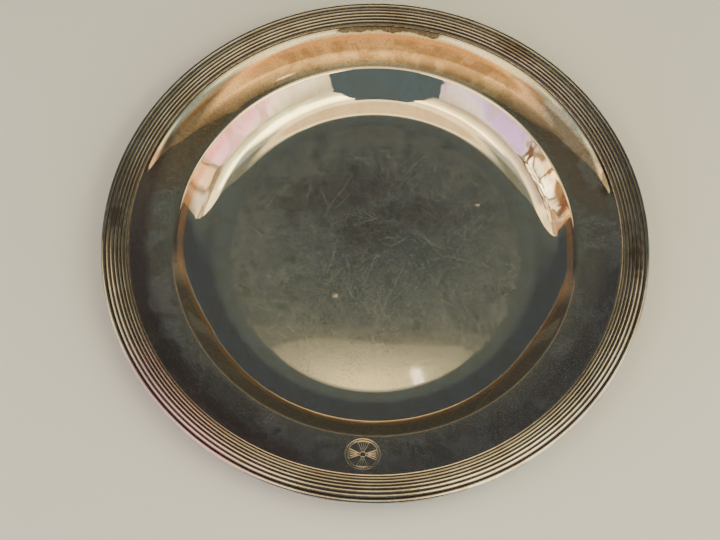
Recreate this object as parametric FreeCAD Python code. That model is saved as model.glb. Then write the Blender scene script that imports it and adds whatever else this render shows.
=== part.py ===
import FreeCAD, Part
import math
import os

# A round, dished silver plate: a hammered sheet body with a flat well, a
# concave booge, a crisp shoulder and a wide dished brim, and a reeded moulding
# soldered on over the brim's raw edge.  Millimetres, +Z up.  The origin is the
# centre of the well's underside, and -Y points to the engraved mark.

# ---- driving dimensions ----------------------------------------------------
PLATE_RADIUS = 125.0          # outside of the moulding
SHEET = 1.1                   # thickness of the hammered sheet
FLOOR_RADIUS = 66.3           # flat part of the well

# the sheet's upper face beyond the floor, as arcs that run on tangent to one
# another: (bend radius, slope at the end in degrees).  A positive radius bends
# the sheet upward and a negative one bends it back down.
FLOOR_TO_BOOGE = (70.0, 4.75)
LOWER_BOOGE = (22.6, 41.0)
UPPER_BOOGE = (199.0, 43.5)
SHOULDER = (-2.2, 7.8)
INNER_BRIM = (154.0, 11.0)
OUTER_BRIM = (37.8, 27.0)
SEAT_ROLL = (-2.4, 0.0)
SHEET_EDGE = 123.3            # raw edge of the sheet, under the moulding

# the moulding's cross-section, with heights measured up from the seat
SOLDER_FILM = 0.15
MOULDING_INNER = 112.75
MOULDING_LIP_INNER = 123.7
INNER_EDGE_HEIGHT = 0.24
GROOVES = (                   # (radius, height) of the groove between two reeds
    (114.05, 0.32),
    (115.60, 0.57),
    (117.10, 0.90),
    (118.80, 1.05),
    (120.80, 0.75),
    (122.72, 0.004),
)
REED_BULGES = (0.18, 0.42, 0.42, 0.50, 0.55, 0.58)
ARCS_PER_REED = 5             # each reed's round is drawn as this many joined arcs
EDGE_REED_RADIUS = 1.3        # bold outer reed that wraps the edge
EDGE_REED_DROP = 0.85         # its centre, below the seat
LIP_RADIUS = 0.7              # tighter curl under the edge

# the engraved mark on the brim, a plain cross in a ring
MARK_RADIUS_ON_BRIM = 101.8
ENGRAVING_DEPTH = 0.13
MARK_RINGS = ((7.7, 0.40), (6.8, 0.25), (1.3, 0.30))   # (radius, line width)
ARM_START = 1.6
ARM_END = 5.9
ARM_START_HALF_WIDTH = 0.45
ARM_END_HALF_WIDTH = 2.45
ARM_LINE = 0.32
SHADING_LINE = 0.16
SHADING_LINES = (-1.1, 0.0, 1.1)      # where they end, across the arm's tip


def upper_arcs():
    """The bends of the upper face as (centre, bend radius, first slope, last slope),
    then the radius and height where the last one ends."""
    radius, height, slope = FLOOR_RADIUS, SHEET, 0.0
    bends = []
    for bend, end_slope in (FLOOR_TO_BOOGE, LOWER_BOOGE, UPPER_BOOGE, SHOULDER,
                            INNER_BRIM, OUTER_BRIM, SEAT_ROLL):
        a0, a1 = math.radians(slope), math.radians(end_slope)
        centre = (radius - bend * math.sin(a0), height + bend * math.cos(a0))
        bends.append((centre, bend, a0, a1))
        radius = centre[0] + bend * math.sin(a1)
        height = centre[1] - bend * math.cos(a1)
        slope = end_slope
    return bends, radius, height


def on_bend(centre, bend, slope):
    """The point of a bend where the sheet has this slope."""
    return (centre[0] + bend * math.sin(slope), centre[1] - bend * math.cos(slope))


def vector(point):
    """A (radius, height) pair as a point of the half-plane y = 0."""
    return FreeCAD.Vector(point[0], 0.0, point[1])


def line(start, end):
    return Part.makeLine(vector(start), vector(end))


def arc(start, middle, end):
    return Part.Arc(vector(start), vector(middle), vector(end)).toShape()


def divided_arc(start, middle, end, count):
    """The same arc as several equal ones, end to end."""
    curve = Part.Arc(vector(start), vector(middle), vector(end))
    first, last = curve.FirstParameter, curve.LastParameter
    steps = [first + (last - first) * i / count for i in range(count + 1)]
    return [Part.Arc(curve.value(a), curve.value((a + b) / 2), curve.value(b)).toShape()
            for a, b in zip(steps, steps[1:])]


def revolved(edges, turn=360.0, start_angle=0.0):
    """A solid of revolution about Z from a closed profile in the plane y = 0."""
    face = Part.Face(Part.Wire(Part.sortEdges(edges)[0]))
    face.rotate(FreeCAD.Vector(0, 0, 0), FreeCAD.Vector(0, 0, 1), start_angle)
    solid = face.revolve(FreeCAD.Vector(0, 0, 0), FreeCAD.Vector(0, 0, 1), turn)
    return Part.Solid(solid) if solid.ShapeType != "Solid" else solid


def sheet_body():
    """The sheet, as its upper face and the same face set down by its thickness."""
    bends, _, seat = upper_arcs()
    edges = [line((0, 0), (0, SHEET)), line((0, SHEET), (FLOOR_RADIUS, SHEET))]
    edges.append(line((0, 0), (FLOOR_RADIUS, 0)))
    for centre, bend, a0, a1 in bends:
        for radius in (bend, bend + SHEET):
            points = [on_bend(centre, radius, a) for a in (a0, (a0 + a1) / 2, a1)]
            edges.append(arc(*points))
    centre, bend, _, level = bends[-1]
    top = on_bend(centre, bend, level)
    edges.append(line(top, (SHEET_EDGE, seat)))
    edges.append(line((top[0], seat - SHEET), (SHEET_EDGE, seat - SHEET)))
    edges.append(line((SHEET_EDGE, seat - SHEET), (SHEET_EDGE, seat)))
    return revolved(edges)


def moulding(seat):
    """Reeds across a domed top, a flat seat and a lip over the sheet's edge."""
    bottom = seat + SOLDER_FILM
    valleys = [(MOULDING_INNER, seat + INNER_EDGE_HEIGHT)]
    valleys += [(radius, seat + height) for radius, height in GROOVES]
    edges = [line((MOULDING_INNER, bottom), valleys[0])]
    for (start, end), bulge in zip(zip(valleys, valleys[1:]), REED_BULGES):
        across, up = end[0] - start[0], end[1] - start[1]
        length = math.hypot(across, up)
        crest = ((start[0] + end[0]) / 2 - bulge * up / length,
                 (start[1] + end[1]) / 2 + bulge * across / length)
        edges += divided_arc(start, crest, end, ARCS_PER_REED)
    centre = (PLATE_RADIUS - EDGE_REED_RADIUS, seat - EDGE_REED_DROP)
    groove = valleys[-1]
    angle = math.atan2(groove[1] - centre[1], groove[0] - centre[0])
    shoulder_of_reed = (centre[0] + EDGE_REED_RADIUS * math.cos(angle / 2),
                        centre[1] + EDGE_REED_RADIUS * math.sin(angle / 2))
    edges += divided_arc(groove, shoulder_of_reed, (PLATE_RADIUS, centre[1]), ARCS_PER_REED)
    lip = (PLATE_RADIUS - LIP_RADIUS, centre[1])
    under = (lip[0], lip[1] - LIP_RADIUS)
    curl = (lip[0] + LIP_RADIUS * math.sqrt(0.5), lip[1] - LIP_RADIUS * math.sqrt(0.5))
    edges += divided_arc((PLATE_RADIUS, centre[1]), curl, under, 3)
    edges.append(line(under, (MOULDING_LIP_INNER, under[1])))
    edges.append(line((MOULDING_LIP_INNER, under[1]), (MOULDING_LIP_INNER, bottom)))
    edges.append(line((MOULDING_LIP_INNER, bottom), (MOULDING_INNER, bottom)))
    return revolved(edges)


def solder(seat):
    """Thin film under the moulding, with a fillet at its inner edge and under its lip."""
    film = seat + SOLDER_FILM
    toe = (MOULDING_INNER - 0.35, seat)
    top = (MOULDING_INNER, seat + INNER_EDGE_HEIGHT - 0.03)
    hollow = (MOULDING_INNER - 0.11, seat + 0.06)
    under = seat - SHEET
    fillet_end = (SHEET_EDGE - 0.55, under)
    fillet_foot = (MOULDING_LIP_INNER, under - 0.40)
    fillet_hollow = (SHEET_EDGE + 0.02, under - 0.12)
    edges = [
        arc(toe, hollow, top),
        line(top, (MOULDING_INNER, film)),
        line((MOULDING_INNER, film), (MOULDING_LIP_INNER, film)),
        line((MOULDING_LIP_INNER, film), fillet_foot),
        arc(fillet_foot, fillet_hollow, fillet_end),
        line(fillet_end, (SHEET_EDGE, under)),
        line((SHEET_EDGE, under), (SHEET_EDGE, seat)),
        line((SHEET_EDGE, seat), toe),
    ]
    return revolved(edges)


def stroke(start, end, width):
    """A straight engraver's line, as an upright slab in the mark's own plane."""
    length = math.hypot(end[0] - start[0], end[1] - start[1])
    slab = Part.makeBox(length, width, 3.0, FreeCAD.Vector(0, -width / 2, -1.2))
    turn = math.degrees(math.atan2(end[1] - start[1], end[0] - start[0]))
    slab.rotate(FreeCAD.Vector(0, 0, 0), FreeCAD.Vector(0, 0, 1), turn)
    slab.translate(FreeCAD.Vector(start[0], start[1], 0))
    return slab


def curved_stroke(radius, width, turn=360.0, start_angle=0.0):
    """A line along a circle about the mark's centre."""
    base, up = FreeCAD.Vector(0, 0, -1.2), FreeCAD.Vector(0, 0, 1)
    outer = Part.makeCylinder(radius + width / 2, 3.0, base, up, turn)
    inner = Part.makeCylinder(radius - width / 2, 3.0, base, up, 360.0)
    ring = outer.cut(inner)
    ring.rotate(FreeCAD.Vector(0, 0, 0), up, start_angle)
    return ring


def mark_strokes():
    """Rings, and a cross whose arms widen outward, with shading lines in each arm."""
    strokes = [curved_stroke(radius, width) for radius, width in MARK_RINGS]
    half_angle = math.degrees(math.atan2(ARM_END_HALF_WIDTH, ARM_END))
    tip_radius = math.hypot(ARM_END, ARM_END_HALF_WIDTH)
    for quarter in range(4):
        turn = 90.0 * quarter
        arm = [curved_stroke(tip_radius, ARM_LINE, 2 * half_angle, -half_angle)]
        for side in (-1, 1):
            arm.append(stroke((ARM_START, side * ARM_START_HALF_WIDTH),
                              (ARM_END, side * ARM_END_HALF_WIDTH), ARM_LINE))
        for across in SHADING_LINES:
            arm.append(stroke((ARM_START + 0.9, across * 0.25), (ARM_END - 0.2, across),
                              SHADING_LINE))
        for piece in arm:
            piece.rotate(FreeCAD.Vector(0, 0, 0), FreeCAD.Vector(0, 0, 1), turn)
        strokes += arm
    return strokes


def upper_face_at(radius):
    """Height and slope of the sheet's upper face at this distance from the axis."""
    bends, _, _ = upper_arcs()
    for centre, bend, a0, a1 in bends:
        if on_bend(centre, bend, a0)[0] <= radius <= on_bend(centre, bend, a1)[0]:
            slope = math.asin((radius - centre[0]) / bend)
            return on_bend(centre, bend, slope)[1], slope
    raise ValueError("this radius is on the flat floor or beyond the seat")


def engraving():
    """The strokes, kept to a shallow layer that follows the brim's hollow face."""
    bends, _, _ = upper_arcs()
    (inner, inner_bend, _, join), (outer, outer_bend, _, _) = bends[4:6]
    low, high = math.radians(7.9), math.radians(26.5)
    edges = []
    for depth in (ENGRAVING_DEPTH, -1.0):
        for centre, bend, a0, a1 in ((inner, inner_bend + depth, low, join),
                                     (outer, outer_bend + depth, join, high)):
            edges.append(arc(*[on_bend(centre, bend, a) for a in (a0, (a0 + a1) / 2, a1)]))
    for centre, bend, angle in ((inner, inner_bend, low), (outer, outer_bend, high)):
        edges.append(line(on_bend(centre, bend + ENGRAVING_DEPTH, angle),
                          on_bend(centre, bend - 1.0, angle)))
    layer = revolved(edges, turn=12.0, start_angle=-96.0)
    height, slope = upper_face_at(MARK_RADIUS_ON_BRIM)
    cutters = []
    for piece in mark_strokes():
        piece.rotate(FreeCAD.Vector(0, 0, 0), FreeCAD.Vector(1, 0, 0), -math.degrees(slope))
        piece.translate(FreeCAD.Vector(0, -MARK_RADIUS_ON_BRIM, height))
        cutters.append(piece)
    joined = cutters[0].multiFuse(cutters[1:])
    return joined.common(layer)


def main():
    os.makedirs("parts", exist_ok=True)
    _, _, seat = upper_arcs()
    pieces = {
        "plate_body": sheet_body().cut(engraving()),
        "reeded_border": moulding(seat),
        "border_solder": solder(seat),
    }
    for name, shape in pieces.items():
        solids = shape.Solids
        if len(solids) != 1:
            raise RuntimeError(f"{name} has {len(solids)} solids")
        solids[0].exportStep(f"parts/{name}.step")
        box = solids[0].BoundBox
        print(name, solids[0].isValid(), round(solids[0].Volume, 1),
              [round(v, 3) for v in (box.XMin, box.YMin, box.ZMin, box.XMax, box.YMax, box.ZMax)])


main()
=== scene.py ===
import math
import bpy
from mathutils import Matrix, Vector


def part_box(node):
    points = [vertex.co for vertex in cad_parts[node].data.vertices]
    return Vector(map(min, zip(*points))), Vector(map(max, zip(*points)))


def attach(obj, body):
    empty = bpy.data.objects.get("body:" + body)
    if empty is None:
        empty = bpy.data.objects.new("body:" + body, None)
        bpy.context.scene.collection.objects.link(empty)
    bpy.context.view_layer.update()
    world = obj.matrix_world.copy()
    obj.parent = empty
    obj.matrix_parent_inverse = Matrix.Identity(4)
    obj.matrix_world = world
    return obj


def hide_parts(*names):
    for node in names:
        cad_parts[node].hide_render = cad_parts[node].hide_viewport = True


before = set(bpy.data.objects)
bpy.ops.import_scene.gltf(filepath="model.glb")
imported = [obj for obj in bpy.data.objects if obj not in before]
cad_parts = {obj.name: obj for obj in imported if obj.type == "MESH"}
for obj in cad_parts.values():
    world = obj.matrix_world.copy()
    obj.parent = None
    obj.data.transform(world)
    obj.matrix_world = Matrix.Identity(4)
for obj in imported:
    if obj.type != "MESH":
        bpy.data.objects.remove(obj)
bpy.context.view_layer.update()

from types import SimpleNamespace

import bmesh
import bpy
import numpy as np
from mathutils import Matrix, Vector


# ---- the plate's dimensions, in metres, in the frame's own coordinates -------
MM = 0.001
SHEET = 1.1 * MM              # its thickness
FLOOR_RADIUS = 66.3 * MM
BENDS = (                     # (bend radius, slope at the end in degrees)
    (70.0 * MM, 4.75),        # floor turning up into the booge
    (22.6 * MM, 41.0),        # lower booge
    (199.0 * MM, 43.5),       # upper booge
    (-2.2 * MM, 7.8),         # crisp shoulder
    (154.0 * MM, 11.0),       # inner brim, nearly straight
    (37.8 * MM, 27.0),        # outer brim, turning up to the border
    (-2.4 * MM, 0.0),         # roll into the border's seat
)
BEND_STEPS = (6, 34, 12, 14, 9, 15, 5)
TOP_FLOOR_STEPS, UNDER_FLOOR_STEPS = 14, 7
OUTER_BRIM = 5                # its place in BENDS
SHEET_EDGE = 123.3 * MM
PLATE_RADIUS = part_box("reeded_border")[1].x
MOULDING_INNER = 112.75 * MM
MOULDING_LIP_INNER = 123.7 * MM
SOLDER_FILM = 0.15 * MM
INNER_EDGE_HEIGHT = 0.24 * MM
GROOVES = (                   # (radius, height above the seat) of each, in millimetres
    (114.05, 0.32), (115.60, 0.57), (117.10, 0.90),
    (118.80, 1.05), (120.80, 0.75), (122.72, 0.004),
)
REED_BULGES = (0.18, 0.42, 0.42, 0.50, 0.55, 0.58)      # how far each reed rises between two
EDGE_REED_RADIUS = 1.3 * MM
EDGE_REED_DROP = 0.85 * MM
LIP_RADIUS = 0.7 * MM
REED_STEPS, EDGE_REED_STEPS, LIP_STEPS, SEAT_STEPS = 9, 14, 6, 3
SHEET_SEGMENTS, BORDER_SEGMENTS = 400, 480
KNOCKS = (                    # (degrees, radius, size, depth) of each small knock in the border
    (-175, 117.4 * MM, 0.55 * MM, 0.30 * MM), (-79, 120.2 * MM, 0.45 * MM, 0.22 * MM),
    (-94, 123.0 * MM, 0.5 * MM, 0.20 * MM), (-2, 118.6 * MM, 0.9 * MM, 0.16 * MM),
    (38, 121.5 * MM, 0.6 * MM, 0.18 * MM), (101, 119.0 * MM, 0.7 * MM, 0.15 * MM),
    (152, 121.0 * MM, 0.6 * MM, 0.20 * MM), (-128, 122.0 * MM, 0.5 * MM, 0.15 * MM),
)
DENTS = (                     # (place, size, depth) of each dent in the sheet, in millimetres
    ((-17.0, -21.6), 3.2, 0.035), ((47.0, 28.0), 3.5, 0.030), ((9.0, 6.0), 6.0, 0.030),
    ((-70.0, 62.0), 5.0, 0.03), ((66.0, -74.0), 5.0, 0.04), ((99.0, 12.0), 4.0, 0.04),
)
RIPPLES = 26                  # plane waves that add up to the hammering
RIPPLE_WAVES = (60, 230)      # their range, in radians per metre
HAMMERING_DEPTH = 0.15 * MM
HAMMERING_RISE = (62 * MM, 68 * MM)       # it deepens from the floor to the booge
HAMMERING_PEAK, HAMMERING_REACH = 80 * MM, 11 * MM
HAMMERING_FADE = 8 * MM
HAMMERING_SEED, BORDER_SEED = 7, 11
BORDER_WAVES = (5, 9, 14, 23, 31)
BORDER_WAVE_HEIGHT = 0.03 * MM
MARK_RADIUS_ON_BRIM = 101.8 * MM
BRIM_STRIP = (93 * MM, 112 * MM)      # between the shoulder and the moulding


# ---- profiles ------------------------------------------------------------------
def bend_list():
    """Each bend's centre, radius and end angles, and the height where the last one ends."""
    radius, height, slope = FLOOR_RADIUS, SHEET, 0.0
    bends = []
    for bend, end_slope in BENDS:
        a0, a1 = math.radians(slope), math.radians(end_slope)
        centre = (radius - bend * math.sin(a0), height + bend * math.cos(a0))
        bends.append((centre, bend, a0, a1))
        radius = centre[0] + bend * math.sin(a1)
        height = centre[1] - bend * math.cos(a1)
        slope = end_slope
    return bends, height


BEND_LIST, SEAT = bend_list()


def on_bend(centre, bend, angle):
    return centre[0] + bend * math.sin(angle), centre[1] - bend * math.cos(angle)


def sheet_profile(offset, floor_steps, thin=1):
    """One face of the sheet from the middle outward; offset is the depth below its top."""
    points = [(FLOOR_RADIUS * i / floor_steps, SHEET - offset) for i in range(1, floor_steps)]
    for (centre, bend, a0, a1), steps in zip(BEND_LIST, BEND_STEPS):
        count = max(3, steps // thin)
        for i in range(count):
            points.append(on_bend(centre, bend + offset, a0 + (a1 - a0) * i / count))
    centre, bend, _, a1 = BEND_LIST[-1]
    last, _ = on_bend(centre, bend + offset, a1)
    for i in range(SEAT_STEPS + 1):
        points.append((last + (SHEET_EDGE - last) * i / SEAT_STEPS, SEAT - offset))
    return points


def arc_points(start, crest, end, steps):
    """Points of the circle through three points, the last one left out."""
    (x1, y1), (x2, y2), (x3, y3) = start, crest, end
    d = 2 * (x1 * (y2 - y3) + x2 * (y3 - y1) + x3 * (y1 - y2))
    s1, s2, s3 = x1 * x1 + y1 * y1, x2 * x2 + y2 * y2, x3 * x3 + y3 * y3
    cx = (s1 * (y2 - y3) + s2 * (y3 - y1) + s3 * (y1 - y2)) / d
    cy = (s1 * (x3 - x2) + s2 * (x1 - x3) + s3 * (x2 - x1)) / d
    radius = math.hypot(x1 - cx, y1 - cy)
    a, b = math.atan2(y1 - cy, x1 - cx), math.atan2(y3 - cy, x3 - cx)
    m = math.atan2(y2 - cy, x2 - cx)
    if a < m:
        a += 2 * math.pi
    if b > m:
        b -= 2 * math.pi
    return [(cx + radius * math.cos(a + (b - a) * i / steps),
             cy + radius * math.sin(a + (b - a) * i / steps)) for i in range(steps)]


def border_profile():
    """The moulding's outline, round the top from its inner edge and back along its seat."""
    valleys = [(MOULDING_INNER, SEAT + INNER_EDGE_HEIGHT)]
    valleys += [(r * MM, SEAT + h * MM) for r, h in GROOVES]
    points = [(MOULDING_INNER, SEAT + SOLDER_FILM)]
    for start, end, bulge in zip(valleys, valleys[1:], REED_BULGES):
        across, up = end[0] - start[0], end[1] - start[1]
        length = math.hypot(across, up)
        crest = ((start[0] + end[0]) / 2 - bulge * MM * up / length,
                 (start[1] + end[1]) / 2 + bulge * MM * across / length)
        points += arc_points(start, crest, end, REED_STEPS)
    centre = (PLATE_RADIUS - EDGE_REED_RADIUS, SEAT - EDGE_REED_DROP)
    first = math.atan2(valleys[-1][1] - centre[1], valleys[-1][0] - centre[0])
    for i in range(EDGE_REED_STEPS):
        a = first * (1 - i / EDGE_REED_STEPS)
        points.append((centre[0] + EDGE_REED_RADIUS * math.cos(a),
                       centre[1] + EDGE_REED_RADIUS * math.sin(a)))
    lip = (PLATE_RADIUS - LIP_RADIUS, centre[1])
    for i in range(LIP_STEPS + 1):
        a = -math.pi / 2 * i / LIP_STEPS
        points.append((lip[0] + LIP_RADIUS * math.cos(a), lip[1] + LIP_RADIUS * math.sin(a)))
    points.append((MOULDING_LIP_INNER, lip[1] - LIP_RADIUS))
    points.append((MOULDING_LIP_INNER, SEAT + SOLDER_FILM))
    return points


# ---- meshes --------------------------------------------------------------------
def smooth_noise(angle, waves, seed):
    """A periodic wobble round the plate, from a few seeded sine waves."""
    rng = np.random.default_rng(seed)
    total = np.zeros_like(angle)
    for wave in waves:
        total += rng.uniform(0.4, 1.0) * np.sin(wave * angle + rng.uniform(0, 2 * math.pi))
    return total / len(waves)


def revolve(name, profile, segments, closed, centre_top=None, centre_bottom=None):
    """A mesh of revolution.  With centre heights the profile's two ends run to the axis."""
    angle = np.linspace(0, 2 * math.pi, segments, endpoint=False)
    profile = np.array(profile)
    r, z = profile[:, 0][:, None], profile[:, 1][:, None]
    rings = len(profile)
    co = np.stack([r * np.cos(angle), r * np.sin(angle), np.repeat(z, segments, 1)], -1)
    co = co.reshape(-1, 3)
    rows = np.arange(rings if closed else rings - 1)
    i, j = np.meshgrid(rows, np.arange(segments), indexing="ij")
    i2, j2 = (i + 1) % rings, (j + 1) % segments
    quads = np.stack([i * segments + j, i2 * segments + j, i2 * segments + j2,
                      i * segments + j2], -1).reshape(-1, 4)
    faces = quads.tolist()
    verts = co.tolist()
    for height, ring, up in ((centre_top, 0, True), (centre_bottom, rings - 1, False)):
        if height is None:
            continue
        middle = len(verts)
        verts.append([0.0, 0.0, height])
        for k in range(segments):
            a, b = ring * segments + k, ring * segments + (k + 1) % segments
            faces.append([middle, a, b] if up else [middle, b, a])
    mesh = bpy.data.meshes.new(name)
    mesh.from_pydata(verts, [], faces)
    mesh.validate()
    obj = bpy.data.objects.new(name, mesh)
    bpy.context.scene.collection.objects.link(obj)
    return obj


def shade_smooth(obj, sharp_degrees=50):
    obj.data.polygons.foreach_set("use_smooth", [True] * len(obj.data.polygons))
    obj.data.set_sharp_from_angle(angle=math.radians(sharp_degrees))
    obj.data.update()


def read_points(mesh):
    co = np.zeros(len(mesh.vertices) * 3)
    mesh.vertices.foreach_get("co", co)
    return co.reshape(-1, 3)


# ---- the engraved mark, in millimetres from its own middle ---------------------
BRIM_CENTRE, BRIM_BEND = BEND_LIST[OUTER_BRIM][:2]
MARK_SLOPE = math.asin((MARK_RADIUS_ON_BRIM - BRIM_CENTRE[0]) / BRIM_BEND)
MARK_RINGS = ((7.7, 0.40), (6.8, 0.25), (1.3, 0.30))      # (radius, line width)
ARM_START, ARM_END = (1.6, 0.45), (5.9, 2.45)     # (along, half-width)
ARM_LINE, SHADING_LINE = 0.32, 0.224
SHADING_LINES = (-1.1, 0.0, 1.1)
SHADING_START, SHADING_END = 2.5, 5.7             # along each arm
SHADING_PINCH = 0.25                              # how close the lines start together
CUT_SHARE = 0.75                                  # of a line's width, on each side of it
OFF_THE_LINE = 9.0                                # a distance that leaves no cut
ENGRAVING_DEPTH = 0.08 * MM
FACES_ROUND_MARK = ((9.0 * MM, 3), (8.3 * MM, 2))         # (reach, cuts)


def to_segment(u, v, start, end):
    """Distance from points to a straight stroke's centre line."""
    (x0, y0), (x1, y1) = start, end
    dx, dy = x1 - x0, y1 - y0
    t = np.clip(((u - x0) * dx + (v - y0) * dy) / (dx * dx + dy * dy), 0, 1)
    return np.hypot(u - x0 - t * dx, v - y0 - t * dy)


def engraved(u, v):
    """How deep the graver went at (u, v) millimetres from the mark's middle, 0 to 1."""
    ring = np.hypot(u, v)
    cut = np.zeros_like(u)

    def add(distance, width):
        np.maximum(cut, 1 - np.clip(distance / (CUT_SHARE * width), 0, 1) ** 2, out=cut)

    for radius, width in MARK_RINGS:
        add(np.abs(ring - radius), width)
    tip = math.hypot(ARM_END[0], ARM_END[1])
    spread = math.atan2(ARM_END[1], ARM_END[0])
    for quarter in range(4):
        c, s = math.cos(quarter * math.pi / 2), math.sin(quarter * math.pi / 2)
        a, b = u * c + v * s, -u * s + v * c
        off = np.abs(np.arctan2(b, a))
        add(np.where(off < spread, np.abs(ring - tip), OFF_THE_LINE), ARM_LINE)
        for side in (-1, 1):
            line = to_segment(a, b, (ARM_START[0], side * ARM_START[1]),
                              (ARM_END[0], side * ARM_END[1]))
            add(line, ARM_LINE)
        for across in SHADING_LINES:
            line = to_segment(a, b, (SHADING_START, across * SHADING_PINCH), (SHADING_END, across))
            add(line, SHADING_LINE)
    return cut


def refine_round_mark(obj):
    """Adds fine faces round the mark, so that the strokes can be cut into the mesh."""
    middle = Vector((0, -MARK_RADIUS_ON_BRIM))
    work = bmesh.new()
    work.from_mesh(obj.data)
    for reach, cuts in FACES_ROUND_MARK:
        near = [f for f in work.faces
                if f.normal.z > 0.5 and (f.calc_center_median().xy - middle).length < reach]
        edges = list({e for f in near for e in f.edges})
        bmesh.ops.subdivide_edges(work, edges=edges, cuts=cuts, use_grid_fill=True)
    work.to_mesh(obj.data)
    work.free()


def fine_profile(offset=0.0):
    """The profile with many points, for looking heights up by radius."""
    points = []
    for centre, bend, a0, a1 in BEND_LIST:
        points += [on_bend(centre, bend + offset, a) for a in np.linspace(a0, a1, 200)]
    points.append((SHEET_EDGE, SEAT - offset))
    return points


def hammering(co, radius):
    """Low ripples on the upper face, deepest in the booge and fading out before the border."""
    ripple = np.zeros(len(co))
    rng = np.random.default_rng(HAMMERING_SEED)
    for _ in range(RIPPLES):
        wave = rng.uniform(*RIPPLE_WAVES)
        heading, phase = rng.uniform(0, math.pi), rng.uniform(0, 2 * math.pi)
        along = co[:, 0] * math.cos(heading) + co[:, 1] * math.sin(heading)
        ripple += np.sin(wave * along + phase) / wave
    low, high = HAMMERING_RISE
    fade = np.clip((BRIM_STRIP[1] - radius) / HAMMERING_FADE, 0, 1)
    past_floor = np.clip((radius - low) / (high - low), 0, 1)
    in_booge = np.clip(1 - np.abs(radius - HAMMERING_PEAK) / HAMMERING_REACH, 0, 1)
    return ripple * fade * HAMMERING_DEPTH * (0.5 + 0.5 * past_floor) * (1.0 + in_booge)


def dent_depth(co):
    """How far the small dents sink the sheet."""
    sunk = np.zeros(len(co))
    for (across, along), size, deep in DENTS:
        far = np.hypot(co[:, 0] - across * MM, co[:, 1] - along * MM) / (size * MM)
        sunk += deep * MM * np.exp(-far ** 2)
    return sunk


def shape_sheet(obj):
    """Sets every upper point on the exact profile, then adds hammering, dents and the mark."""
    mesh = obj.data
    co = read_points(mesh)
    radius = np.hypot(co[:, 0], co[:, 1])
    upper = np.array([(0.0, SHEET)] + fine_profile())
    under = np.array([(0.0, 0.0)] + fine_profile(SHEET))
    top_z = np.interp(radius, upper[:, 0], upper[:, 1])
    low_z = np.interp(radius, under[:, 0], under[:, 1])
    is_top = np.abs(co[:, 2] - top_z) < np.abs(co[:, 2] - low_z)
    near = is_top & (radius > BRIM_STRIP[0]) & (radius < BRIM_STRIP[1])
    u = co[:, 0] / MM
    v = (co[:, 1] + MARK_RADIUS_ON_BRIM) / MM / math.cos(MARK_SLOPE)
    cut = np.where(near, engraved(u, v), 0.0)
    shaped = top_z + hammering(co, radius) - dent_depth(co)
    co[:, 2] = np.where(is_top, shaped, co[:, 2]) - cut * ENGRAVING_DEPTH / math.cos(MARK_SLOPE)
    mesh.vertices.foreach_set("co", co.ravel())
    attribute = mesh.attributes.new("engraved", "FLOAT", "POINT")
    attribute.data.foreach_set("value", cut.astype(np.float32))
    mesh.update()


def nick_border(obj):
    """Small knocks along the moulding, and a faint wave in it, as on a ring bent by hand."""
    mesh = obj.data
    co = read_points(mesh)
    radius = np.hypot(co[:, 0], co[:, 1])
    angle = np.arctan2(co[:, 1], co[:, 0])
    upper = co[:, 2] > SEAT + SOLDER_FILM * 1.5
    drop = np.zeros(len(co))
    for degrees, at, size, depth in KNOCKS:
        along = (angle - math.radians(degrees) + math.pi) % (2 * math.pi) - math.pi
        reach = np.hypot(along * at, radius - at) / size
        drop += depth * np.exp(-reach ** 2)
    wave = smooth_noise(angle, BORDER_WAVES, BORDER_SEED) * BORDER_WAVE_HEIGHT
    co[:, 2] += np.where(upper, wave - drop, 0.0)
    mesh.vertices.foreach_set("co", co.ravel())
    mesh.update()


# ---- pieces --------------------------------------------------------------------
top = sheet_profile(0.0, TOP_FLOOR_STEPS)
bottom = sheet_profile(SHEET, UNDER_FLOOR_STEPS, thin=3)
body = revolve("plate_sheet", top + bottom[::-1], SHEET_SEGMENTS, False, SHEET, 0.0)
refine_round_mark(body)
shape_sheet(body)
border = revolve("reeded_moulding", border_profile(), BORDER_SEGMENTS, True)
nick_border(border)
for obj in (body, border):
    shade_smooth(obj)
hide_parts("plate_body")
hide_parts("reeded_border")
for obj in (body, border):
    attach(obj, "root")
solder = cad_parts["border_solder"]


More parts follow.
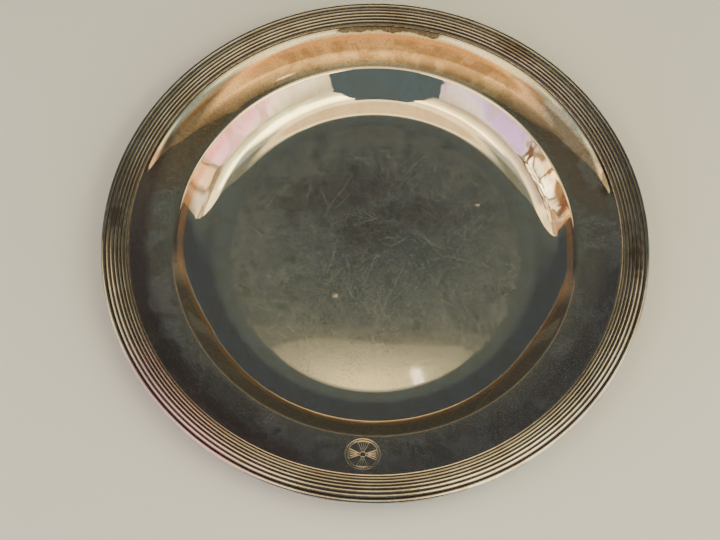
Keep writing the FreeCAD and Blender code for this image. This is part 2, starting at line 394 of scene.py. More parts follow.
# ---- node arithmetic ---------------------------------------------------------
class Nodes:
    """A short way to write node arithmetic."""

    def __init__(self, tree):
        self.tree = tree

    def new(self, kind, **values):
        node = self.tree.nodes.new(kind)
        for key, value in values.items():
            setattr(node, key, value)
        return node

    def feed(self, socket, value):
        if isinstance(value, (int, float, tuple, list)):
            socket.default_value = value
        else:
            self.tree.links.new(value, socket)

    def split(self, vector):
        node = self.new("ShaderNodeSeparateXYZ")
        self.feed(node.inputs[0], vector)
        return tuple(node.outputs)

    def math(self, operation, a, b=0.0, c=0.0):
        node = self.new("ShaderNodeMath", operation=operation)
        for socket, value in zip(node.inputs, (a, b, c)):
            self.feed(socket, value)
        return node.outputs[0]

    def times(self, a, b):
        return self.math("MULTIPLY", a, b)

    def plus(self, a, b):
        return self.math("ADD", a, b)

    def minus(self, a, b):
        return self.math("SUBTRACT", a, b)

    def larger(self, a, b):
        return self.math("MAXIMUM", a, b)

    def ramp(self, value, low, high, start=0.0, end=1.0):
        """Smoothly from start where value is low to end where it is high."""
        node = self.new("ShaderNodeMapRange", interpolation_type="SMOOTHSTEP")
        for socket, v in zip(node.inputs, (value, low, high, start, end)):
            self.feed(socket, v)
        return node.outputs[0]

    def mix(self, amount, a, b):
        node = self.new("ShaderNodeMix", data_type="RGBA")
        self.feed(node.inputs[0], amount)
        self.feed(node.inputs[6], a)
        self.feed(node.inputs[7], b)
        return node.outputs[2]

    def colours(self, value, stops):
        """A colour ramp through (place, colour) stops."""
        node = self.new("ShaderNodeValToRGB")
        self.feed(node.inputs[0], value)
        points = node.color_ramp.elements
        while len(points) < len(stops):
            points.new(0.5)
        for point, (place, colour) in zip(points, stops):
            point.position = place
            point.color = (*colour, 1)
        return node.outputs[0]


# ---- patterns shared by the materials ------------------------------------------
def material(name):
    """A new material, its nodes and its surface shader."""
    mat = bpy.data.materials.new(name)
    mat.use_nodes = True
    return mat, Nodes(mat.node_tree), mat.node_tree.nodes["Principled BSDF"]


def add_bump(n, shader, strength, distance, height):
    bump = n.new("ShaderNodeBump")
    bump.inputs["Strength"].default_value = strength
    bump.inputs["Distance"].default_value = distance
    n.feed(bump.inputs["Height"], height)
    n.feed(shader.inputs["Normal"], bump.outputs[0])


def polar(n):
    """Position in millimetres, as a vector and split, and the distance from the axis."""
    place = n.new("ShaderNodeTexCoord").outputs["Object"]
    scaled = n.new("ShaderNodeVectorMath", operation="SCALE")
    n.feed(scaled.inputs[0], place)
    scaled.inputs["Scale"].default_value = 1 / MM
    mm = scaled.outputs[0]
    x, y, _ = n.split(mm)
    radius = n.math("SQRT", n.plus(n.times(x, x), n.times(y, y)))
    return mm, x, y, radius


def noise(n, mm, scale, detail, seed, warp=0.0):
    """Cloudy noise, 0 to 1; scale is in waves per millimetre."""
    moved = n.new("ShaderNodeVectorMath", operation="ADD")
    n.feed(moved.inputs[0], mm)
    moved.inputs[1].default_value = (seed * 137.0, seed * 71.0, 0.0)
    node = n.new("ShaderNodeTexNoise", noise_dimensions="2D")
    n.feed(node.inputs["Vector"], moved.outputs[0])
    node.inputs["Scale"].default_value = scale
    node.inputs["Detail"].default_value = detail
    node.inputs["Roughness"].default_value = 0.62
    node.inputs["Distortion"].default_value = warp
    return node.outputs["Fac"]


def patch(n, x, y, centre, size, turn, blur, wobble):
    """A ragged patch round a point: 1 inside and 0 outside."""
    c, s = math.cos(math.radians(turn)), math.sin(math.radians(turn))
    dx, dy = n.minus(x, centre[0]), n.minus(y, centre[1])
    along = n.plus(n.times(dx, c / size[0]), n.times(dy, s / size[0]))
    over = n.minus(n.times(dy, c / size[1]), n.times(dx, s / size[1]))
    far = n.math("SQRT", n.plus(n.times(along, along), n.times(over, over)))
    far = n.plus(far, n.math("MULTIPLY_ADD", wobble, 2.4, -1.2))
    return n.ramp(far, 1.0 + blur, 1.0 - blur)


def patches(n, x, y, blur, wobble, *places):
    """Several ragged patches, each a (centre, size, turn in degrees), as one mask."""
    total = 0.0
    for centre, size, turn in places:
        total = n.larger(total, patch(n, x, y, centre, size, turn, blur, wobble))
    return total


def scratches(n, mm, layers, seed):
    """Hairline scratches: one straight scratch in each cell of several cell patterns."""
    total = 0.0
    for i, (cell, width) in enumerate(layers):
        moved = n.new("ShaderNodeVectorMath", operation="ADD")
        n.feed(moved.inputs[0], mm)
        moved.inputs[1].default_value = ((seed + i) * 61.7, (seed + i) * 43.1, 0.0)
        cells = n.new("ShaderNodeTexVoronoi", voronoi_dimensions="2D")
        cells.inputs["Scale"].default_value = 1.0 / cell
        n.feed(cells.inputs["Vector"], moved.outputs[0])
        offset = n.new("ShaderNodeVectorMath", operation="SUBTRACT")
        n.feed(offset.inputs[0], moved.outputs[0])
        n.feed(offset.inputs[1], cells.outputs["Position"])
        local_x, local_y, _ = n.split(offset.outputs[0])
        turn, bend, strength = n.split(cells.outputs["Color"])
        turn = n.times(turn, math.pi)
        c, s = n.math("COSINE", turn), n.math("SINE", turn)
        along = n.plus(n.times(local_x, c), n.times(local_y, s))
        over = n.minus(n.times(local_y, c), n.times(local_x, s))
        bow = n.math("MULTIPLY_ADD", bend, 0.012, -0.006)
        over = n.minus(over, n.times(n.times(along, along), bow))
        line = n.ramp(n.math("ABSOLUTE", over), width, width * 0.3)
        line = n.times(line, n.ramp(n.math("ABSOLUTE", along), cell * 0.48, cell * 0.3))
        line = n.times(line, n.math("MULTIPLY_ADD", strength, 0.8, 0.2))
        total = n.larger(total, line)
    return total


def hairlines(n, mm, directions, seed):
    """Fine rubbed lines: noise drawn out long in each of several directions."""
    total = 0.0
    for i, (degrees, stretch) in enumerate(directions):
        laid = n.new("ShaderNodeMapping", vector_type="TEXTURE")
        n.feed(laid.inputs["Vector"], mm)
        laid.inputs["Location"].default_value = ((seed + i) * 19.3, (seed + i) * 7.7, 0.0)
        laid.inputs["Rotation"].default_value = (0.0, 0.0, math.radians(degrees))
        laid.inputs["Scale"].default_value = (stretch, 0.5, 1.0)
        drawn = n.new("ShaderNodeTexNoise", noise_dimensions="2D")
        n.feed(drawn.inputs["Vector"], laid.outputs[0])
        drawn.inputs["Scale"].default_value = 1.0
        drawn.inputs["Detail"].default_value = 1.0
        drawn.inputs["Distortion"].default_value = 0.15
        total = n.larger(total, n.ramp(drawn.outputs["Fac"], 0.58, 0.72))
    return total


# ---- the hammered and worn sheet, with painted reflections -----------------------
FLOOR_EDGE = (68.2, 66.2)     # where the floor's wear fades out and is full, in millimetres
BRIM_EDGE = (92.2, 93.4)      # where the brim's tarnish begins and is full
SCRATCHES = ((44, 0.28), (29, 0.25), (20, 0.23), (14, 0.22), (9, 0.20))    # (cell, width)
RUBBING = ((8, 16.0), (-29, 20.0), (55, 15.0), (-67, 18.0))                # (degrees, length)


def sheet_places(n):
    """What the sheet's regions share: position, noises, and masks of the floor and brim."""
    s = SimpleNamespace()
    s.mm, s.x, s.y, s.radius = polar(n)
    s.cloud = noise(n, s.mm, 0.032, 4.0, 1, 0.5)
    s.mottle = noise(n, s.mm, 0.10, 6.0, 2, 0.3)
    s.grain = noise(n, s.mm, 0.9, 3.0, 3)
    s.blotch = n.math("MULTIPLY_ADD", s.cloud, 0.55, n.times(s.mottle, 0.45))
    s.ragged = n.plus(s.radius, n.math("MULTIPLY_ADD", s.mottle, 3.0, -1.5))
    s.on_floor = n.ramp(s.radius, *FLOOR_EDGE)
    s.on_brim = n.ramp(s.radius, *BRIM_EDGE)
    s.turned = n.math("DIVIDE", s.y, s.radius)
    s.past_line = n.minus(s.radius, n.ramp(s.turned, -0.55, -0.02, 84.6, 89.5))
    return s


def booge_colour(n, s):
    """The booge is the cleanest part, browner towards the shoulder."""
    colour = n.mix(n.ramp(s.mottle, 0.40, 0.62), (0.90, 0.85, 0.72, 1), (0.84, 0.77, 0.61, 1))
    browner = n.times(n.ramp(s.ragged, 87.0, 92.0), n.ramp(s.y, 90.0, 30.0))
    return n.mix(n.times(browner, 0.5), colour, (0.60, 0.38, 0.20, 1))


def floor_colour(n, s):
    """The floor is worn dull and greenish, with a brown cloud, a little dark spotting, and a painted
    cream reflection on its near part.
    """
    colour = n.mix(n.ramp(s.cloud, 0.40, 0.60), (0.88, 0.85, 0.70, 1), (0.74, 0.72, 0.60, 1))
    colour = n.mix(n.ramp(s.mottle, 0.50, 0.70, 0.0, 0.6), colour, (0.62, 0.62, 0.44, 1))
    # the middle of the floor painted greyer and darker
    greyer_middle = patches(n, s.x, s.y, 0.75, s.blotch, ((4, 12), (44, 30), 0))
    colour = n.mix(n.times(greyer_middle, 0.6), colour, (0.52, 0.51, 0.48, 1))
    haze_cloud = patches(n, s.x, s.y, 0.6, s.mottle, ((-18, 31), (27, 11), 15), ((17, 22), (20, 7), 0),
                         ((-6, 12), (14, 10), 0))
    colour = n.mix(n.times(haze_cloud, 0.55), colour, (0.46, 0.36, 0.30, 1))
    # painted reflection: the near part of the floor painted lighter cream, where the warm room shows
    # in it
    colour = n.mix(n.ramp(s.y, -34.0, -41.0, 0.0, 0.75), colour, (1.0, 0.92, 0.70, 1))
    specks = n.ramp(n.times(s.grain, n.ramp(s.mottle, 0.40, 0.60, 0.85, 1.1)), 0.66, 0.74)
    return n.mix(n.times(specks, 0.4), colour, (0.28, 0.22, 0.16, 1))


def brim_colour(n, s):
    """The brim is tarnished tan, and greyer on the near side; the tan far side against the grey near
    side is partly a painted reflection of the warm room.
    """
    tan = n.mix(n.ramp(s.blotch, 0.42, 0.56), (0.60, 0.42, 0.23, 1), (0.42, 0.28, 0.14, 1))
    tan = n.mix(n.ramp(s.mottle, 0.50, 0.60, 0.0, 0.8), tan, (0.36, 0.23, 0.13, 1))
    tan = n.mix(n.ramp(s.grain, 0.52, 0.70, 0.0, 0.35), tan, (0.22, 0.14, 0.08, 1))
    tan = n.mix(n.ramp(s.mottle, 0.44, 0.34, 0.0, 0.35), tan, (0.70, 0.50, 0.28, 1))
    grey = n.mix(n.ramp(s.blotch, 0.42, 0.56), (0.84, 0.77, 0.65, 1), (0.68, 0.59, 0.48, 1))
    # partly painted reflection: tan on the far side, grey on the near side
    return n.mix(n.ramp(n.plus(s.y, n.times(s.mottle, 24.0)), 80.0, 28.0), tan, grey)


def tint_brim_bands(n, s, tan):
    """Painted reflections on the far brim along the border: gold at the left and rosier at the right,
    a pale strip dimmer at the flanks, near-black ends and a copper-toned strip; and brown tarnish
    along the left edge.
    """
    # painted reflections: a rose strip at the right and a gold strip at the left
    painted_rose_reflection = n.times(n.ramp(s.x, 50.0, 75.0), n.ramp(s.ragged, 109.0, 106.0))
    painted_rose_reflection = n.times(painted_rose_reflection, n.ramp(s.y, 14.0, 34.0))
    painted_gold_reflection = n.times(n.ramp(s.x, -40.0, -66.0), n.ramp(s.ragged, 109.0, 106.0))
    painted_gold_reflection = n.times(painted_gold_reflection, n.ramp(s.y, 14.0, 34.0))
    tan = n.mix(n.times(painted_gold_reflection, 0.65), tan, (0.92, 0.60, 0.32, 1))
    tan = n.mix(n.times(painted_rose_reflection, 0.7), tan, (0.80, 0.57, 0.40, 1))
    # painted reflection: a pale strip along the far side's outermost brim, dimmer at the flanks
    far_side = n.ramp(s.y, 15.0, 45.0)
    outer = n.times(n.ramp(s.radius, 108.0, 109.2), far_side)
    tan = n.mix(n.times(outer, 0.85), tan, (0.80, 0.82, 0.70, 1))
    flanks = n.times(n.ramp(n.math("ABSOLUTE", s.x), 50.0, 80.0), outer)
    tan = n.mix(n.times(flanks, 0.7), tan, (0.42, 0.43, 0.35, 1))
    # painted shade: the pale strip's ends darkened nearly black
    painted_dark_tips = n.times(n.ramp(s.y, 56.0, 40.0), n.ramp(s.y, 25.0, 34.0))
    painted_dark_tips = n.times(painted_dark_tips, n.ramp(s.radius, 106.0, 108.5))
    tan = n.mix(painted_dark_tips, tan, (0.14, 0.125, 0.10, 1))
    # painted reflection: a copper-toned strip on the far side
    painted_orange_strip = n.times(n.ramp(s.radius, 106.0, 107.4), n.ramp(s.radius, 109.4, 108.2))
    painted_orange_strip = n.times(n.times(painted_orange_strip, far_side), n.ramp(s.cloud, 0.34, 0.46))
    tan = n.mix(n.times(painted_orange_strip, 0.8), tan, (0.78, 0.42, 0.18, 1))
    leftward = n.ramp(n.plus(s.x, n.times(s.y, 0.5)), -62.0, -92.0)
    brown_edge = n.times(leftward, n.ramp(s.ragged, 101.5, 107.5))
    brown_edge = n.times(brown_edge, n.ramp(s.y, 55.0, 40.0))
    return n.mix(n.times(brown_edge, 0.75), tan, (0.50, 0.33, 0.27, 1))


def mark_brim(n, s, tan):
    """Stains, painted dark reflections on the far brim next to the border, rubbed places, and the
    cleaner strip next to the shoulder.
    """
    stain = patches(n, s.x, s.y, 0.14, s.mottle, ((-60, -80), (21, 8.5), -38),
                    ((-88, -62), (9, 6), -50), ((-99, -47), (4.5, 5), 0))
    tan = n.mix(n.times(stain, 0.5), tan, (0.40, 0.30, 0.23, 1))
    # painted shade: near-black reflections on the far brim, next to the border
    painted_dark_reflections = patches(n, s.x, s.y, 0.2, s.mottle, ((-17, 109.6), (8, 1.5), 9),
                        ((17, 109.6), (9, 1.4), -9), ((0, 111.0), (12, 1.6), 0))
    tan = n.mix(n.times(painted_dark_reflections, 0.95), tan, (0.05, 0.05, 0.045, 1))
    rubbed = patches(n, s.x, s.y, 0.25, s.mottle, ((86, 62), (5, 15), 38), ((97, 42), (4, 10), 25),
                     ((-95, -28), (6, 11), 0))
    tan = n.mix(n.times(rubbed, 0.6), tan, (0.95, 0.80, 0.68, 1))
    clean_inner = n.ramp(s.ragged, 96.0, 94.0)
    return n.mix(n.times(clean_inner, 0.6), tan, (0.72, 0.66, 0.52, 1))


def paint_shoulder_reflections(n, s, booge):
    """The shoulder's painted highlight line, warm on the far side and dark brown on the near side, and
    the painted dark reflection inside it on the near side.
    """
    s.below = n.ramp(s.turned, -0.05, -0.30)
    # painted shade: a near-black reflection inside the shoulder on the near side
    s.band = n.times(n.ramp(s.past_line, -1.4, 0.4), s.below)
    booge = n.mix(s.band, booge, (0.083, 0.088, 0.090, 1))
    # painted highlight: a line along the shoulder, left out at the far end
    s.shoulder_line = n.times(n.ramp(s.past_line, -1.7, -0.3), n.ramp(s.past_line, 2.0, 0.7))
    s.shoulder_line = n.times(s.shoulder_line, n.ramp(s.y, 66.0, 30.0))
    s.shoulder_line = n.times(s.shoulder_line, n.ramp(s.mottle, 0.25, 0.55, 0.5, 1.0))
    painted_line_colour = n.mix(s.below, (0.80, 0.50, 0.29, 1), (0.125, 0.088, 0.062, 1))
    return n.mix(s.shoulder_line, booge, painted_line_colour)


def sheet_hair(n, s):
    """Scratches and rubbed lines, strong on the floor and faint on the rest."""
    hair = scratches(n, s.mm, SCRATCHES, 3)
    rubbing = hairlines(n, s.mm, RUBBING, 5)
    hair = n.larger(hair, n.times(rubbing, 0.40))
    worn = n.larger(s.on_floor, n.math("MULTIPLY_ADD", s.on_brim, 0.10, 0.10))
    return n.times(hair, worn)


def sheet_scatter(n, s):
    """How much of the light the tarnish and wear scatter, rather than reflect; the painted shade,
    highlight line and dent glints are dulled too, so their painted colour shows.
    """
    outward = n.times(n.ramp(s.radius, 10.0, 66.0), n.math("MULTIPLY_ADD", s.mottle, 0.02, 0.004))
    scatter = n.math("MULTIPLY_ADD", s.on_floor, outward, 0.003)
    scatter = n.plus(scatter, n.times(s.hair, 0.078))
    fine = noise(n, s.mm, 0.42, 4.0, 14)
    speckle = n.times(n.ramp(fine, 0.40, 0.66), n.math("MULTIPLY_ADD", s.on_floor, 0.009, 0.005))
    scatter = n.plus(scatter, speckle)
    clouding = n.times(n.ramp(s.mottle, 0.46, 0.62), n.minus(1.0, s.on_floor))
    scatter = n.plus(scatter, n.times(clouding, 0.009))
    scatter = n.plus(scatter, n.times(s.on_brim, 0.006))
    scatter = n.plus(scatter, n.times(s.cut, 0.06))
    # the painted shade inside the shoulder and the painted line are dulled, so their painted colour
    # shows
    dull_band = n.times(n.larger(s.band, n.times(s.shoulder_line, s.below)), 0.56)
    scatter = n.plus(scatter, n.times(dull_band, n.minus(1.0, s.on_brim)))
    # the painted dent glints and the painted shoulder highlight are dulled as well
    scatter = n.plus(scatter, n.times(s.flecks, 0.25))
    return n.plus(scatter, n.times(s.shoulder_line, 0.12))


def sheet_roughness(n, s):
    """Nearly polished, with foggy spots on the floor and a coarse cut in the mark."""
    fog = n.ramp(noise(n, s.mm, 2.6, 1.0, 12), 0.58, 0.68)
    rough = n.math("MULTIPLY_ADD", n.ramp(s.cloud, 0.35, 0.65), 0.008, 0.017)
    rough = n.plus(rough, n.times(n.times(fog, s.on_floor), 0.14))
    rough = n.plus(rough, n.times(s.on_brim, n.times(s.mottle, 0.02)))
    rough = n.plus(rough, n.times(s.hair, 0.05))
    return n.plus(rough, n.times(s.cut, 0.35))


def aged_silver_sheet_with_painted_light():
    """The sheet: clean booge, dull scratched floor, tarnished brim and the cut mark, with painted
    reflections on the brim and at the shoulder, and painted glints at two dents.
    """
    mat, n, shader = material("aged_silver_sheet_with_painted_light")
    s = sheet_places(n)
    booge = booge_colour(n, s)
    floor = floor_colour(n, s)
    tan = mark_brim(n, s, tint_brim_bands(n, s, brim_colour(n, s)))
    booge = paint_shoulder_reflections(n, s, booge)
    colour = n.mix(s.on_floor, booge, floor)
    colour = n.mix(s.on_brim, colour, tan)
    dulled = n.times(n.ramp(s.grain, 0.42, 0.66), n.math("MULTIPLY_ADD", s.on_brim, 0.22, 0.08))
    colour = n.mix(dulled, colour, (0.30, 0.26, 0.20, 1))
    s.hair = sheet_hair(n, s)
    colour = n.mix(n.times(s.hair, 0.5), colour, (1.0, 0.98, 0.88, 1))
    s.cut = n.new("ShaderNodeAttribute", attribute_name="engraved").outputs["Fac"]
    colour = n.mix(n.times(s.cut, 0.8), colour, (0.68, 0.61, 0.46, 1))
    # painted highlight: bright glints at two dents in the floor
    s.flecks = patches(n, s.x, s.y, 0.3, s.mottle, ((-17, -21.6), (1.6, 1.3), 20),
                       ((47, 28), (1.2, 0.9), 0))
    colour = n.mix(s.flecks, colour, (0.95, 0.85, 0.62, 1))
    n.feed(shader.inputs["Base Color"], colour)
    scatter = sheet_scatter(n, s)
    shader.inputs["Specular IOR Level"].default_value = 0.1
    n.feed(shader.inputs["Metallic"], n.minus(1.0, scatter))
    n.feed(shader.inputs["Roughness"], sheet_roughness(n, s))
    relief = n.math("MULTIPLY_ADD", s.hair, -0.04, s.mottle)
    add_bump(n, shader, 0.10, 0.03 * MM, relief)
    return mat


# ---- the reeded moulding -----------------------------------------------------
def in_grooves(n, radius, wide, narrow):
    """1 in the grooves between the reeds and 0 on their crests."""
    total = 0.0
    inner_edge = MOULDING_INNER / MM + 0.15
    for place in (inner_edge,) + tuple(r for r, _ in GROOVES):
        near = n.ramp(n.math("ABSOLUTE", n.minus(radius, place)), wide, narrow)
        total = n.larger(total, near)
    return total


def border_silver():
    """Bright crests, with dirt and tarnish in the grooves and painted shade darkening them, and a
    painted rose reflection at the near left.
    """
    mat, n, shader = material("border_silver")
    mm, x, y, radius = polar(n)
    cloud = noise(n, mm, 0.05, 4.0, 4, 0.4)
    mottle = noise(n, mm, 0.25, 5.0, 5, 0.3)
    colour = n.mix(n.ramp(cloud, 0.40, 0.60), (0.61, 0.61, 0.57, 1), (0.49, 0.47, 0.42, 1))
    colour = n.mix(n.ramp(mottle, 0.55, 0.70, 0.0, 0.5), colour, (0.50, 0.40, 0.30, 1))
    # painted reflection: a rose tint on the border at the near left
    painted_rosy_reflection = patches(n, x, y, 0.5, cloud, ((-78, -92), (45, 14), -50))
    colour = n.mix(n.times(painted_rosy_reflection, 0.8), colour, (0.58, 0.40, 0.44, 1))
    smudge = patches(n, x, y, 0.4, mottle, ((119, -2), (3, 9), 0), ((-119, 4), (3, 6), 0),
                     ((62, 101), (9, 3), -30))
    colour = n.mix(n.times(smudge, 0.7), colour, (0.22, 0.16, 0.12, 1))
    # tarnish in the grooves, and painted shade darkening them
    groove_tarnish_and_shade = in_grooves(n, radius, 0.66, 0.20)
    colour = n.mix(n.times(groove_tarnish_and_shade, 0.86), colour, (0.070, 0.058, 0.044, 1))
    n.feed(shader.inputs["Base Color"], colour)
    n.feed(shader.inputs["Metallic"], n.math("MULTIPLY_ADD", groove_tarnish_and_shade, -0.15, 0.995))
    rough = n.math("MULTIPLY_ADD", mottle, 0.14, 0.09)
    n.feed(shader.inputs["Roughness"], n.plus(rough, n.times(groove_tarnish_and_shade, 0.18)))
    add_bump(n, shader, 0.12, 0.04 * MM, noise(n, mm, 0.35, 1.0, 6))
    return mat


# ---- the solder seam ---------------------------------------------------------
def silver_solder():
    """Dull grey, with a little oxide."""
    mat, n, shader = material("silver_solder")
    mm = polar(n)[0]
    patchy = noise(n, mm, 0.4, 5.0, 8, 0.3)
    colour = n.mix(n.ramp(patchy, 0.35, 0.65), (0.42, 0.38, 0.31, 1), (0.24, 0.20, 0.15, 1))
    n.feed(shader.inputs["Base Color"], colour)
    shader.inputs["Metallic"].default_value = 0.95
    n.feed(shader.inputs["Roughness"], n.math("MULTIPLY_ADD", patchy, 0.3, 0.25))
    return mat


body.data.materials.append(aged_silver_sheet_with_painted_light())
border.data.materials.append(border_silver())
solder_look = silver_solder()
for slot in solder.material_slots:
    slot.material = solder_look


# ---- studio: a pale floor -----------------------------------------------------
FLOOR_REACH, FLOOR_GAP = 4.0, 0.2 * MM


def pale_floor():
    mesh = bpy.data.meshes.new("studio_floor")
    corners = [(x * FLOOR_REACH, y * FLOOR_REACH, 0) for x, y in ((-1, -1), (1, -1), (1, 1), (-1, 1))]
    mesh.from_pydata(corners, [], [(0, 1, 2, 3)])
    obj = bpy.data.objects.new("studio_floor", mesh)
    bpy.context.scene.collection.objects.link(obj)
    obj.location.z = -FLOOR_GAP
    mat, _, shader = material("pale_floor")
    shader.inputs["Base Color"].default_value = (0.80, 0.90, 1.0, 1)
    shader.inputs["Roughness"].default_value = 0.8
    mesh.materials.append(mat)


# ---- studio: a soft dome of light, bright in front and overhead, dark behind --------
DOME_RADIUS = 1.0
DOME_RINGS, DOME_SEGMENTS = 48, 96
DEGREES = 180 / math.pi
EDGE_SPAN = 3.0               # how far to each side the dark side's edge is given


def dome_noise(n, place, scale, warp):
    node = n.new("ShaderNodeTexNoise")
    n.feed(node.inputs["Vector"], place)
    node.inputs["Scale"].default_value = scale
    node.inputs["Detail"].default_value = 3.0
    node.inputs["Distortion"].default_value = warp
    return node


def dome_places(n):
    """Where a point of the dome is: zenith angle, bearing from the front, and noises."""
    d = SimpleNamespace()
    d.place = n.new("ShaderNodeTexCoord").outputs["Object"]
    d.x, d.y, z = n.split(d.place)
    d.uneven = n.minus(dome_noise(n, d.place, 9.0, 0.0).outputs["Fac"], 0.5)
    d.high = n.larger(z, 0.02)
    d.tilt = n.times(n.math("ARCCOSINE", n.math("DIVIDE", d.high, DOME_RADIUS)), DEGREES)
    d.side = n.times(n.math("ARCTAN2", d.x, n.times(d.y, -1.0)), DEGREES)
    d.turns = n.split(dome_noise(n, d.place, 3.2, 1.2).outputs["Color"])
    d.bent_side = n.plus(d.side, n.math("MULTIPLY_ADD", d.turns[0], 34.0, -17.0))
    d.bent_tilt = n.plus(d.tilt, n.math("MULTIPLY_ADD", d.turns[1], 16.0, -8.0))
    return d


def box(n, d, low, high, tilt_low, tilt_high, soft):
    """A soft-edged patch of the dome, between two bearings and two zenith angles."""
    inside = n.times(n.ramp(d.bent_side, low - soft, low + soft),
                     n.ramp(d.bent_side, high + soft, high - soft))
    inside = n.times(inside, n.ramp(d.bent_tilt, tilt_low - soft, tilt_low + soft))
    return n.times(inside, n.ramp(d.bent_tilt, tilt_high + soft, tilt_high - soft))


def past_dark_edge(n, d):
    """How far behind the edge of the dome's dark side a direction is."""
    u = n.math("ABSOLUTE", n.math("DIVIDE", d.x, d.high))
    stops = ((0.0, 0.345), (0.075, 0.345), (0.12, 0.331), (0.2, 0.305), (0.4, 0.268),
             (0.55, 0.28), (0.8, 0.37), (1.0, 0.43), (2.7, 0.95))
    stops = [(at / EDGE_SPAN, (v_edge,) * 3) for at, v_edge in stops]
    edge = n.colours(n.math("DIVIDE", u, EDGE_SPAN), stops)
    limit = n.split(edge)[0]
    return n.minus(n.minus(d.v, limit), n.times(d.uneven, 0.010))


def overhead_and_sides(n, d):
    """The lit side's colours from the zenith down, which differ to the left and right."""
    swirled_tilt = n.math("MULTIPLY_ADD", d.turns[2], 5.0, n.minus(d.tilt, 2.5))
    share = n.math("DIVIDE", swirled_tilt, 90.0)
    right = n.colours(share, [
        (0.0, (1.50, 1.02, 0.52)), (0.15, (1.45, 1.0, 0.50)),
        (0.19, (2.4, 1.85, 1.0)), (0.25, (2.5, 1.75, 0.9)),
        (0.31, (7.0, 5.9, 2.8)), (0.40, (6.5, 5.8, 3.0)), (0.47, (2.4, 2.1, 1.2)),
        (0.58, (1.2, 1.0, 0.60)), (0.67, (3.6, 3.0, 2.0)), (0.78, (4.2, 3.8, 2.8)),
        (1.0, (4.0, 3.7, 3.0))])
    left = n.colours(share, [
        (0.0, (1.50, 1.02, 0.52)), (0.15, (1.45, 1.0, 0.50)),
        (0.19, (2.4, 1.85, 1.0)), (0.27, (2.3, 1.6, 0.85)),
        (0.31, (6.5, 5.2, 2.4)), (0.35, (3.2, 2.5, 1.4)), (0.45, (1.6, 1.2, 0.72)),
        (0.53, (0.80, 0.60, 0.44)), (0.58, (1.3, 1.0, 0.8)), (0.78, (4.2, 3.8, 2.8)),
        (1.0, (4.0, 3.7, 3.0))])
    lit = n.mix(n.ramp(d.side, -12.0, 12.0), left, right)
    return n.mix(n.ramp(d.v, 0.22, 0.27), lit, (2.7, 2.05, 1.05, 1))


WALLS = (                     # (two bearings, two zenith angles, softness, colour)
    (-76, -24, 55, 84, 3.0, (1.45, 0.90, 1.60)),
    (40, 84, 57, 74, 3.0, (2.7, 1.25, 1.35)),
    (-104, -76, 50, 74, 1.5, (0.30, 0.15, 0.10)),
)
PANES = ((-102, (3.0, 2.2, 1.2)), (-94, (6.5, 5.6, 3.4)), (-86, (5.0, 4.0, 2.4)))
PANE_WIDTH, PANE_TILTS = 6, ((54, 58.5), (60, 64.5), (66, 71))
FLANK_LIGHTS = (              # the same, laid over the window's sides
    (-112, -104, 60, 80, 1.5, (0.9, 0.42, 0.22)),
    (84, 112, 50, 80, 3.0, (0.55, 0.36, 0.20)),
    (88, 96, 62, 74, 2.0, (2.3, 1.5, 0.85)),
    (99, 108, 56, 70, 2.0, (1.7, 1.3, 0.9)),
)


def room_around(n, d, lit):
    """What stands round the plate: coloured walls and a paned window."""
    panes = [(first, first + PANE_WIDTH, *tilts, 0.8, glass) for first, glass in PANES
             for tilts in PANE_TILTS]
    for *place, colour in (*WALLS, *panes, *FLANK_LIGHTS):
        lit = n.mix(box(n, d, *place), lit, (*colour, 1))
    return lit


def shade_overhead(n, d, lit):
    """Warm streaks, dim flanks high at the sides, and a dark panel overhead in front."""
    streaks = n.times(n.ramp(d.turns[1], 0.50, 0.58), n.ramp(d.tilt, 34.0, 40.0))
    lit = n.mix(n.times(streaks, 0.45), lit, (1.0, 0.82, 0.48, 1))
    flank = n.times(n.ramp(n.math("ABSOLUTE", d.side), 76.0, 94.0), n.ramp(d.tilt, 15.0, 20.0))
    flank = n.times(flank, n.ramp(d.tilt, 36.0, 30.0))
    lit = n.mix(flank, lit, (0.68, 0.68, 0.54, 1))
    flank = n.times(flank, n.ramp(n.math("ABSOLUTE", d.side), 100.0, 112.0))
    lit = n.mix(flank, lit, (0.28, 0.27, 0.20, 1))
    reach = n.plus(n.times(d.tilt, 0.22), n.math("MULTIPLY_ADD", d.uneven, 12.0, 15.0))
    past_side = n.minus(n.math("ABSOLUTE", n.plus(d.side, 1.5)), reach)
    panel = n.times(n.ramp(d.tilt, 18.5, 20.0), n.ramp(past_side, 0.6, -0.6))
    return n.mix(panel, lit, (0.115, 0.155, 0.175, 1))


LAMP_PLACE = (0.032, 0.301, 0.953)
LAMP_GLOW, LAMP_CORE = 0.0065, 0.0030     # radii where its light ends and is full


def add_lamp(n, d, lit):
    """A small lamp, seen as a bright point in the floor."""
    glare = n.new("ShaderNodeVectorMath", operation="DISTANCE")
    n.feed(glare.inputs[0], d.place)
    glare.inputs[1].default_value = LAMP_PLACE
    glow = n.ramp(glare.outputs["Value"], LAMP_GLOW, LAMP_CORE)
    return n.mix(glow, lit, (3.8, 3.3, 2.5, 1))


def dome_light():
    """The dome's glow: the lit side in front, and a dim room behind its sharp edge."""
    mat = bpy.data.materials.new("studio_dome")
    mat.use_nodes = True
    mat.node_tree.nodes.clear()
    n = Nodes(mat.node_tree)
    d = dome_places(n)
    d.v = n.math("DIVIDE", d.y, d.high)
    past = past_dark_edge(n, d)
    dark_side = n.ramp(past, -0.001, 0.003)
    lit = room_around(n, d, overhead_and_sides(n, d))
    lit = add_lamp(n, d, shade_overhead(n, d, lit))
    deep = n.ramp(past, 0.0, 0.40)
    dark = n.mix(deep, (0.108, 0.127, 0.119, 1), (0.060, 0.070, 0.080, 1))
    glow = n.new("ShaderNodeEmission")
    n.feed(glow.inputs[0], n.mix(dark_side, lit, dark))
    output = n.new("ShaderNodeOutputMaterial")
    n.feed(output.inputs[0], glow.outputs[0])
    mat.cycles.emission_sampling = "NONE"
    return mat


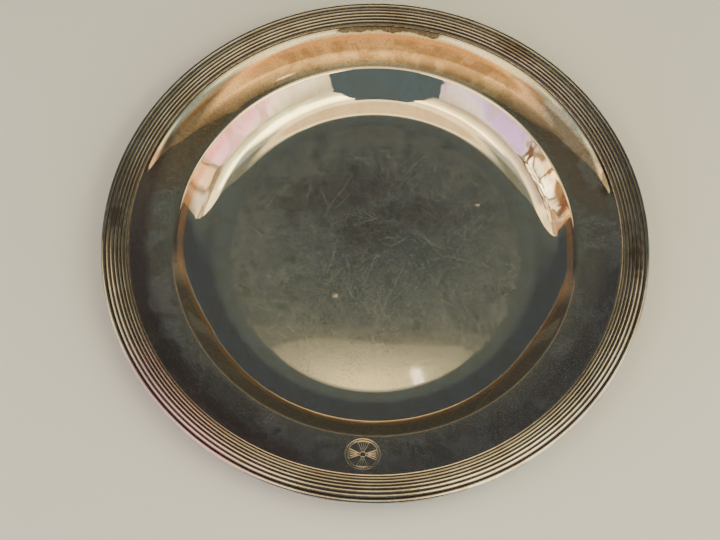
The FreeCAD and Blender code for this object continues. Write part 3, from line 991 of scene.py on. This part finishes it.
def soft_dome():
    """The dome itself: it lights the plate and shows in it, but the camera looks through it."""
    profile = [(DOME_RADIUS * math.sin(a), DOME_RADIUS * math.cos(a))
               for a in np.linspace(0, math.pi, DOME_RINGS + 1)[1:-1]]
    obj = revolve("studio_dome", profile, DOME_SEGMENTS, False, DOME_RADIUS, -DOME_RADIUS)
    shade_smooth(obj)
    obj.visible_camera = False
    obj.data.materials.append(dome_light())


pale_floor()
soft_dome()
world = bpy.data.worlds.new("studio")
world.use_nodes = True
world.node_tree.nodes["Background"].inputs[0].default_value = (1.25, 1.22, 1.17, 1)
bpy.context.scene.world = world


# ---- camera --------------------------------------------------------------------
SENSOR, LENS = 36.0, 95.95    # millimetres
AZIMUTH, ELEVATION, ROLL = 2.1, 65.472, 0.995        # degrees
DISTANCE = 0.875
PLATE_RIGHT, PLATE_ABOVE = 0.4356, 0.9105            # degrees from the view's middle


def add_camera(target):
    """A camera that sees target a little right of and above the middle of its view."""
    a, e = math.radians(AZIMUTH), math.radians(ELEVATION)
    back = Vector((math.sin(a) * math.cos(e), -math.cos(a) * math.cos(e), math.sin(e)))
    place = target + DISTANCE * back
    right = (-back).cross(Vector((0, 0, 1))).normalized()
    up = right.cross(-back)
    leftward = right * math.tan(math.radians(PLATE_RIGHT))
    downward = up * math.tan(math.radians(PLATE_ABOVE))
    look = (-back - leftward - downward).normalized()
    right = look.cross(up).normalized()
    up = right.cross(look)
    turn = math.radians(ROLL)
    right = right * math.cos(turn) + up * math.sin(turn)
    up = right.cross(look)
    camera = bpy.data.objects.new("camera", bpy.data.cameras.new("camera"))
    bpy.context.scene.collection.objects.link(camera)
    camera.matrix_world = Matrix((
        (right.x, up.x, -look.x, place.x),
        (right.y, up.y, -look.y, place.y),
        (right.z, up.z, -look.z, place.z),
        (0, 0, 0, 1)))
    camera.data.sensor_width = SENSOR
    camera.data.lens = LENS
    camera.data.clip_start = 0.01
    bpy.context.scene.camera = camera


add_camera(Vector((0, 0, SEAT - EDGE_REED_DROP)))
